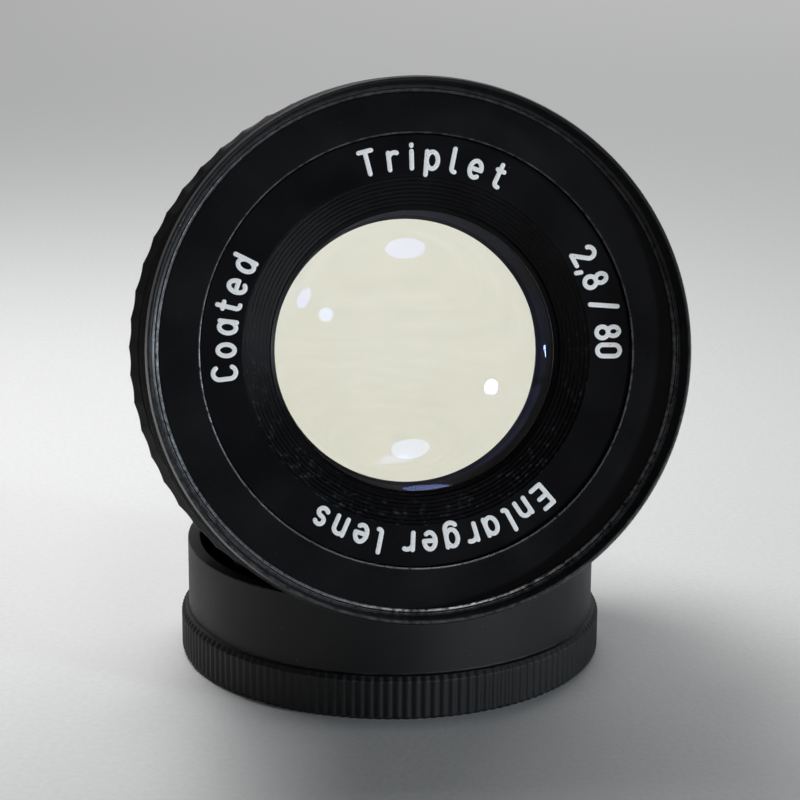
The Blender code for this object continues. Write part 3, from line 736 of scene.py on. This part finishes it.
def add_stroke(builder, path, spot, half, height, sides=10, caps=4):
    """Flattened round bar with round ends along a path of flat points. spot(x, y, rise) gives the
    place of a point."""
    path = [Vector(point) for point in path]
    sections = []
    runs = [(b - a).normalized() for a, b in zip(path, path[1:])]
    for index, point in enumerate(path):
        run = (runs[max(0, index - 1)] + runs[min(index, len(runs) - 1)]).normalized()
        sections.append((point, run, 1.0))
    for step in range(1, caps + 1):
        angle = math.radians(90) * step / caps
        shrink = max(0.02, math.cos(angle))
        sections.insert(0, (path[0] - runs[0] * half * math.sin(angle), runs[0], shrink))
        sections.append((path[-1] + runs[-1] * half * math.sin(angle), runs[-1], shrink))
    rings = []
    for point, run, shrink in sections:
        side = Vector((-run.y, run.x))
        ring = []
        for corner in range(sides):
            angle = math.tau * (corner + 0.5) / sides
            flat = math.copysign(abs(math.sin(angle)) ** 0.6, math.sin(angle))
            place = point + side * half * shrink * math.cos(angle)
            ring.append(builder.verts.new(spot(place.x, place.y, height * flat * shrink ** 0.5)))
        rings.append(ring)
    for ring, following in zip(rings, rings[1:]):
        for corner in range(sides):
            other = (corner + 1) % sides
            builder.faces.new((ring[corner], ring[other], following[other], following[corner]))
    builder.faces.new(rings[0][::-1])
    builder.faces.new(rings[-1])


def word_width(word, gap):
    return sum(GLYPHS[letter][0] for letter in word) + gap * (len(word) - 1)


def add_word(builder, word, size, gap, stroke, spot_at):
    """Draws a word. spot_at(middle) gives the spot function of a letter whose middle is there, in
    letter heights from the word's middle."""
    unit = size - stroke
    cursor = -word_width(word, gap) / 2
    for letter in word:
        width, *strokes = GLYPHS[letter]
        middle = cursor + width / 2
        spot = spot_at(middle * unit)
        for stroke_path in strokes:
            path = [((x - width / 2) * unit, y * unit + stroke / 2) for x, y in stroke_path]
            add_stroke(builder, path, spot, stroke / 2, PAINT_HEIGHT)
        cursor += width + gap


def ring_letter(centre_angle):
    """Letters on the name band: tops outward, read clockwise."""
    def spot_at(along):
        middle_radius = BASELINE + CAP_LETTER / 2
        angle = math.radians(centre_angle) - along / middle_radius
        out = Vector((math.cos(angle), math.sin(angle)))
        on = Vector((math.sin(angle), -math.cos(angle)))

        def spot(x, y, rise):
            flat = out * (BASELINE + y) + on * x
            return flat.x, flat.y, rise - band_depth(flat.length)
        return spot
    return spot_at


def make_name_lettering(paint):
    for number, (word, centre, sweep) in enumerate(WORDS, start=1):
        unit = CAP_LETTER - STROKE
        length = math.radians(sweep) * (BASELINE + CAP_LETTER / 2) - STROKE
        gap = (length / unit - word_width(word, 0.0)) / (len(word) - 1)
        builder = bmesh.new()
        add_word(builder, word, CAP_LETTER, gap, STROKE, ring_letter(centre))
        made = new_piece(f"name_lettering_{number}", builder, paint)
        install(weighted(made), "lens", "white_paint")


def scale_letter(centre_angle):
    """Numbers on the aperture ring's smooth band: tops towards the front."""
    def spot_at(along):
        def spot(x, y, rise):
            angle = math.radians(centre_angle) + (along + x) / SCALE_RADIUS
            reach = SCALE_RADIUS + rise
            return reach * math.cos(angle), reach * math.sin(angle), y - SCALE_BASE
        return spot
    return spot_at


def make_scale(paint):
    builder = bmesh.new()
    for number, stop in enumerate(STOPS):
        place = scale_letter(90.0 - STOP_STEP * number)
        add_word(builder, stop, SCALE_LETTER, SCALE_GAP, SCALE_STROKE, place)
    install(weighted(new_piece("aperture_scale", builder, paint)), "aperture_ring", "white_paint")


# ---------------------------------------------------------------- optics

# Each element: curvatures of its two faces, their depths on the axis, half diameter and glass.
ELEMENTS = (
    ("front_element", (36.0, -700.0), (4.4, 10.0), 14.9, "crown"),
    ("middle_element", (-34.0, 32.5), (19.45, 21.15), 13.5, "flint"),
    ("rear_element", (127.0, -29.4), (27.6, 33.4), 15.1, "crown"),
)
SPACER_GROOVES = 8
GROOVE_DEPTH = 0.15
LOCK_RING_BACK = 31.9
NOTCH_RADIUS = 15.4
NOTCH_SIZE = (2.4, 1.2, 1.4)


def ground(curvature, vertex, half_diameter, steps=48):
    """(radius, depth, edge) points of a spherical surface, from the axis outwards."""
    points = []
    for step in range(steps + 1):
        radius = half_diameter * step / steps
        sag = curvature - math.copysign(math.sqrt(curvature ** 2 - radius ** 2), curvature)
        points.append((radius, vertex + sag, 0.0))
    return points


def make_element(name, curvatures, vertices, half_diameter, glass):
    front = ground(curvatures[0], vertices[0], half_diameter)
    rear = ground(curvatures[1], vertices[1], half_diameter)
    made = lathe(f"{name}_ground", front + rear[::-1], glass, LENS_SEGMENTS)
    install(weighted(made, 25.0), "lens", "coated_glass", name)


def baffled(radius, start, end, pitch=0.5, height=0.18):
    """Fine grooves inside a bore, which stop stray light, as outline points from start to end."""
    count = int(abs(end - start) / pitch)
    points = []
    for step in range(count):
        depth = start + (end - start) * step / count
        points.append((radius, depth, 0.0))
        points.append((radius + height, depth + (end - start) / count * 0.6, 0.0))
    return points + [(radius, end, 0.0)]


def make_front_cell(finish):
    outline = rounded([
        (16.4, 6.65), (20.8, 6.65), (20.8, 7.55), (17.35, 7.55), (17.35, 11.2), (14.1, 11.2, 0.05),
        (14.1, 10.3, 0.03), (15.15, 10.3, 0.0), (15.15, 7.75, 0.05), (16.4, 7.75, 0.0),
    ])
    made = lathe("front_cell_turned", outline, finish, MEDIUM)
    install(weighted(made), "lens", "cell_black", "front_cell")


def make_front_lock_ring(finish):
    outline = rounded([(14.9, 6.65, 0.05), (16.1, 6.65, 0.05), (16.1, 7.2), (14.5, 7.12, 0.03),
                       (14.5, 6.9, 0.1)])
    made = lathe("front_lock_ring_turned", outline, finish, MEDIUM)
    install(weighted(made), "lens", "name_black", "front_lock_ring")


def make_rear_cell(finish):
    bore = baffled(15.35, 29.6, 24.0) + baffled(13.75, 24.0, 16.35)
    outline = rounded([
        (11.9, 16.35, 0.05, 0.0), (11.9, 16.1, 0.05, 0.0), (15.0, 16.1), (15.0, 17.4), (22.9, 17.4),
        (22.9, 21.0), (17.4, 21.0), (17.4, 35.0, 0.15), (16.35, 35.0, 0.1), (16.35, 29.6),
    ]) + bore
    made = lathe("rear_cell_turned", outline, finish, MEDIUM)
    install(weighted(made, 20.0), "lens", "cell_black", "rear_cell")


def make_spacer_ring(finish):
    """Ring with a grooved conical bore."""
    outline = rounded([(12.85, 24.4), (13.5, 24.4), (15.05, 24.75), (15.05, 28.1), (14.4, 28.1)])
    for step in range(1, SPACER_GROOVES):
        share = step / SPACER_GROOVES
        groove = GROOVE_DEPTH * (step % 2)
        outline.append((14.4 - 1.55 * share + groove, 28.1 - 3.7 * share, 0.0))
    made = lathe("spacer_ring_turned", outline, finish, MEDIUM)
    install(weighted(made, 20.0), "lens", "cell_black", "spacer_ring")


def make_rear_lock_ring(finish):
    """Ring with two notches for a key."""
    outline = rounded([(14.75, 30.0), (16.05, 30.0), (16.05, LOCK_RING_BACK),
                       (14.75, LOCK_RING_BACK, 0.15)])
    ring = lathe("rear_lock_ring_turned", outline, finish, MEDIUM)
    notches = []
    for side in (-1.0, 1.0):
        builder = bmesh.new()
        bmesh.ops.create_cube(builder, size=1.0)
        bmesh.ops.scale(builder, vec=NOTCH_SIZE, verts=builder.verts)
        bmesh.ops.translate(builder, vec=(side * NOTCH_RADIUS, 0.0, -LOCK_RING_BACK), verts=builder.verts)
        notches.append(new_piece("notch", builder, finish))
    install(weighted(cut(ring, notches), 30.0), "lens", "cell_black", "rear_lock_ring")


# ---------------------------------------------------------------- rear cap

def rib_warp(angle, radius, depth):
    """Fine ribs round the cap's grip. Heights are negative depths."""
    if radius < CAP_WALL + 0.2 or -depth > CAP_GRIP + SMALL:
        return radius
    share = (angle * CAP_RIBS / math.tau) % 1.0
    valley = 0.5 - 0.5 * math.cos(math.tau * share)
    return radius - CAP_RIB_DEPTH * valley ** 1.5


def make_cap(finish):
    heights = rounded([
        (0.0, 0.35), (18.6, 0.35, 0.1), (19.0, 0.0, 0.1), (CAP_RADIUS - 0.4, 0.0, 0.1),
        (CAP_RADIUS, 0.4, 0.15), (CAP_RADIUS, CAP_GRIP - 0.55, 0.15), (CAP_RADIUS - 0.35, CAP_GRIP, 0.1),
        (CAP_WALL, CAP_GRIP + 0.05, 0.12), (CAP_WALL, CAP_HEIGHT, 0.18), (CAP_MOUTH, CAP_HEIGHT, 0.12),
        (CAP_MOUTH, CAP_FLOOR, 0.4), (16.0, CAP_FLOOR, 0.1), (15.6, CAP_FLOOR - 0.25, 0.1),
        (0.0, CAP_FLOOR - 0.25),
    ])
    points = [(radius, -height, edge) for radius, height, edge in heights]
    made = lathe("rear_cap_moulded", points, finish, segments=CAP_RIBS * 6, warp=rib_warp, place=CAP)
    install(weighted(made, 50.0), "cap", "cap_plastic", "rear_cap")


# ---------------------------------------------------------------- stage

FLOOR_HALF_WIDTH = 3000.0
FLOOR_DROP = 0.00005

# The world's glow is strongest at the horizon and fades out above it.
WORLD_COLOUR = (0.95, 0.97, 1.0, 1.0)
HORIZON_STRENGTH = 0.32
OVERHEAD_STRENGTH = 0.03
FADE_HEIGHT = 0.45

# Each light: place, target, size, power, colour and shape.
SUBJECT = (0.0, -0.03, 0.04)
WHITE = (1.0, 1.0, 1.0)
LIGHTS = {
    "backdrop": ((0.22, 0.75, 0.7), (0.18, 0.45, 0.0), (0.9, 0.5), 3.75, WHITE, "RECTANGLE"),
    "key": ((-0.072, 0.085, 0.225), (-0.02, 0.05, 0.0), (0.12, 0.12), 0.43, WHITE, "RECTANGLE"),
    "lamp": ((0.03, -0.364, 0.469), SUBJECT, (0.13, 0.075), 0.2, WHITE, "ELLIPSE"),
    "window": ((0.69, -0.46, 0.11), SUBJECT, (0.09, 0.12), 2.6, (0.8, 0.9, 1.0), "RECTANGLE"),
    "fill": ((0.42, -0.68, 0.03), SUBJECT, (0.07, 0.07), 1.6, (0.9, 0.95, 1.0), "ELLIPSE"),
}


def make_floor(finish):
    """Flat pale card, large enough for every view."""
    builder = bmesh.new()
    bmesh.ops.create_grid(builder, x_segments=8, y_segments=8, size=FLOOR_HALF_WIDTH)
    floor = new_piece("floor", builder, finish, Matrix.Translation((0.0, 0.0, -FLOOR_DROP)) @ CAP)


def make_light(name, place, target, size, power, colour, shape):
    data = bpy.data.lights.new(name, "AREA")
    data.shape = shape
    data.size, data.size_y = size
    data.energy = power
    data.color = colour
    light = bpy.data.objects.new(name, data)
    light.location = Vector(place)
    light.rotation_euler = (Vector(place) - Vector(target)).to_track_quat("Z", "Y").to_euler()
    bpy.context.scene.collection.objects.link(light)


def make_lighting():
    world = bpy.data.worlds.new("studio")
    bpy.context.scene.world = world
    world.use_nodes = True
    tree = world.node_tree
    background = tree.nodes["Background"]
    background.inputs["Color"].default_value = WORLD_COLOUR
    height = tree.nodes.new("ShaderNodeSeparateXYZ")
    fade = tree.nodes.new("ShaderNodeMapRange")
    fade.interpolation_type = "SMOOTHSTEP"
    fade.inputs["From Max"].default_value = FADE_HEIGHT
    fade.inputs["To Min"].default_value = HORIZON_STRENGTH
    fade.inputs["To Max"].default_value = OVERHEAD_STRENGTH
    direction = tree.nodes.new("ShaderNodeTexCoord").outputs["Generated"]
    tree.links.new(direction, height.inputs["Vector"])
    tree.links.new(height.outputs["Z"], fade.inputs["Value"])
    tree.links.new(fade.outputs["Result"], background.inputs["Strength"])
    for name, light in LIGHTS.items():
        make_light(name, *light)
    bpy.context.scene.view_settings.view_transform = "Standard"


# ---------------------------------------------------------------- everything

def set_finish(names, finish):
    """Gives carried-over CAD nodes their finish."""
    for name in names:
        slots = frame["nodes"][name].material_slots
        if slots:
            slots[0].material = finish
        else:
            frame["nodes"][name].data.materials.append(finish)


def main():
    make_camera()
    gloss = black_metal("gloss_black", (0.003, 0.003, 0.004), 0.3, wear=0.9, shine=0.22)
    # Painted sheen: the rim's black is a lighter copy of the gloss black, for a soft highlight on its front
    # face.
    rim = black_metal("rim_black_sheen", (0.009, 0.009, 0.01), 0.32, wear=0.9, shine=0.2)
    name_black = black_metal("name_black", (0.002, 0.002, 0.0025), 0.34, wear=0.2, shine=0.13)
    ring_black = black_metal("ring_black", (0.005, 0.005, 0.006), 0.33, wear=0.35, shine=0.4)
    satin = black_metal("satin_black", (0.009, 0.009, 0.0095), 0.42, turning=0.004, wear=0.3)
    cell_black = black_metal("cell_black", (0.042, 0.038, 0.035), 0.5, turning=0.006, wear=0.1, dust=0.0,
                             shine=0.3)
    plastic = moulded_plastic("cap_plastic", (0.0035, 0.0035, 0.004), 0.5)
    paint = white_paint()
    crown = coated_glass("crown_glass", 1.622, (0.18, 0.23, 0.58))
    flint = coated_glass("flint_glass", 1.62, (0.25, 0.32, 0.7))
    steel = bare_metal("steel", (0.5, 0.5, 0.51), 0.34)
    brass = bare_metal("brass", (0.72, 0.55, 0.27), 0.36)
    iris_black = black_metal("iris_black", (0.065, 0.06, 0.056), 0.4, turning=0.0, wear=0.0, dust=0.0)

    make_bezel(rim)
    make_trim_ring(gloss)
    make_name_ring(name_black)
    make_name_lettering(paint)
    make_barrel(satin)
    make_index_dot(paint)
    make_flange(satin)
    make_screws(steel, brass)
    make_grip_ring(ring_black)
    make_aperture_ring(ring_black)
    make_scale(paint)
    for name, curvatures, vertices, half_diameter, kind in ELEMENTS:
        make_element(name, curvatures, vertices, half_diameter, flint if kind == "flint" else crown)
    make_front_cell(cell_black)
    make_front_lock_ring(name_black)
    make_rear_cell(cell_black)
    make_spacer_ring(cell_black)
    make_rear_lock_ring(cell_black)
    make_cap(plastic)
    set_finish([f"iris_blade_{number}" for number in range(1, 9)] + ["iris_base_plate"], iris_black)
    set_finish(["iris_cam_ring"], brass)
    set_finish(["iris_snap_ring", "click_ball", "click_spring"], steel)
    make_floor(paper())
    make_lighting()


main()
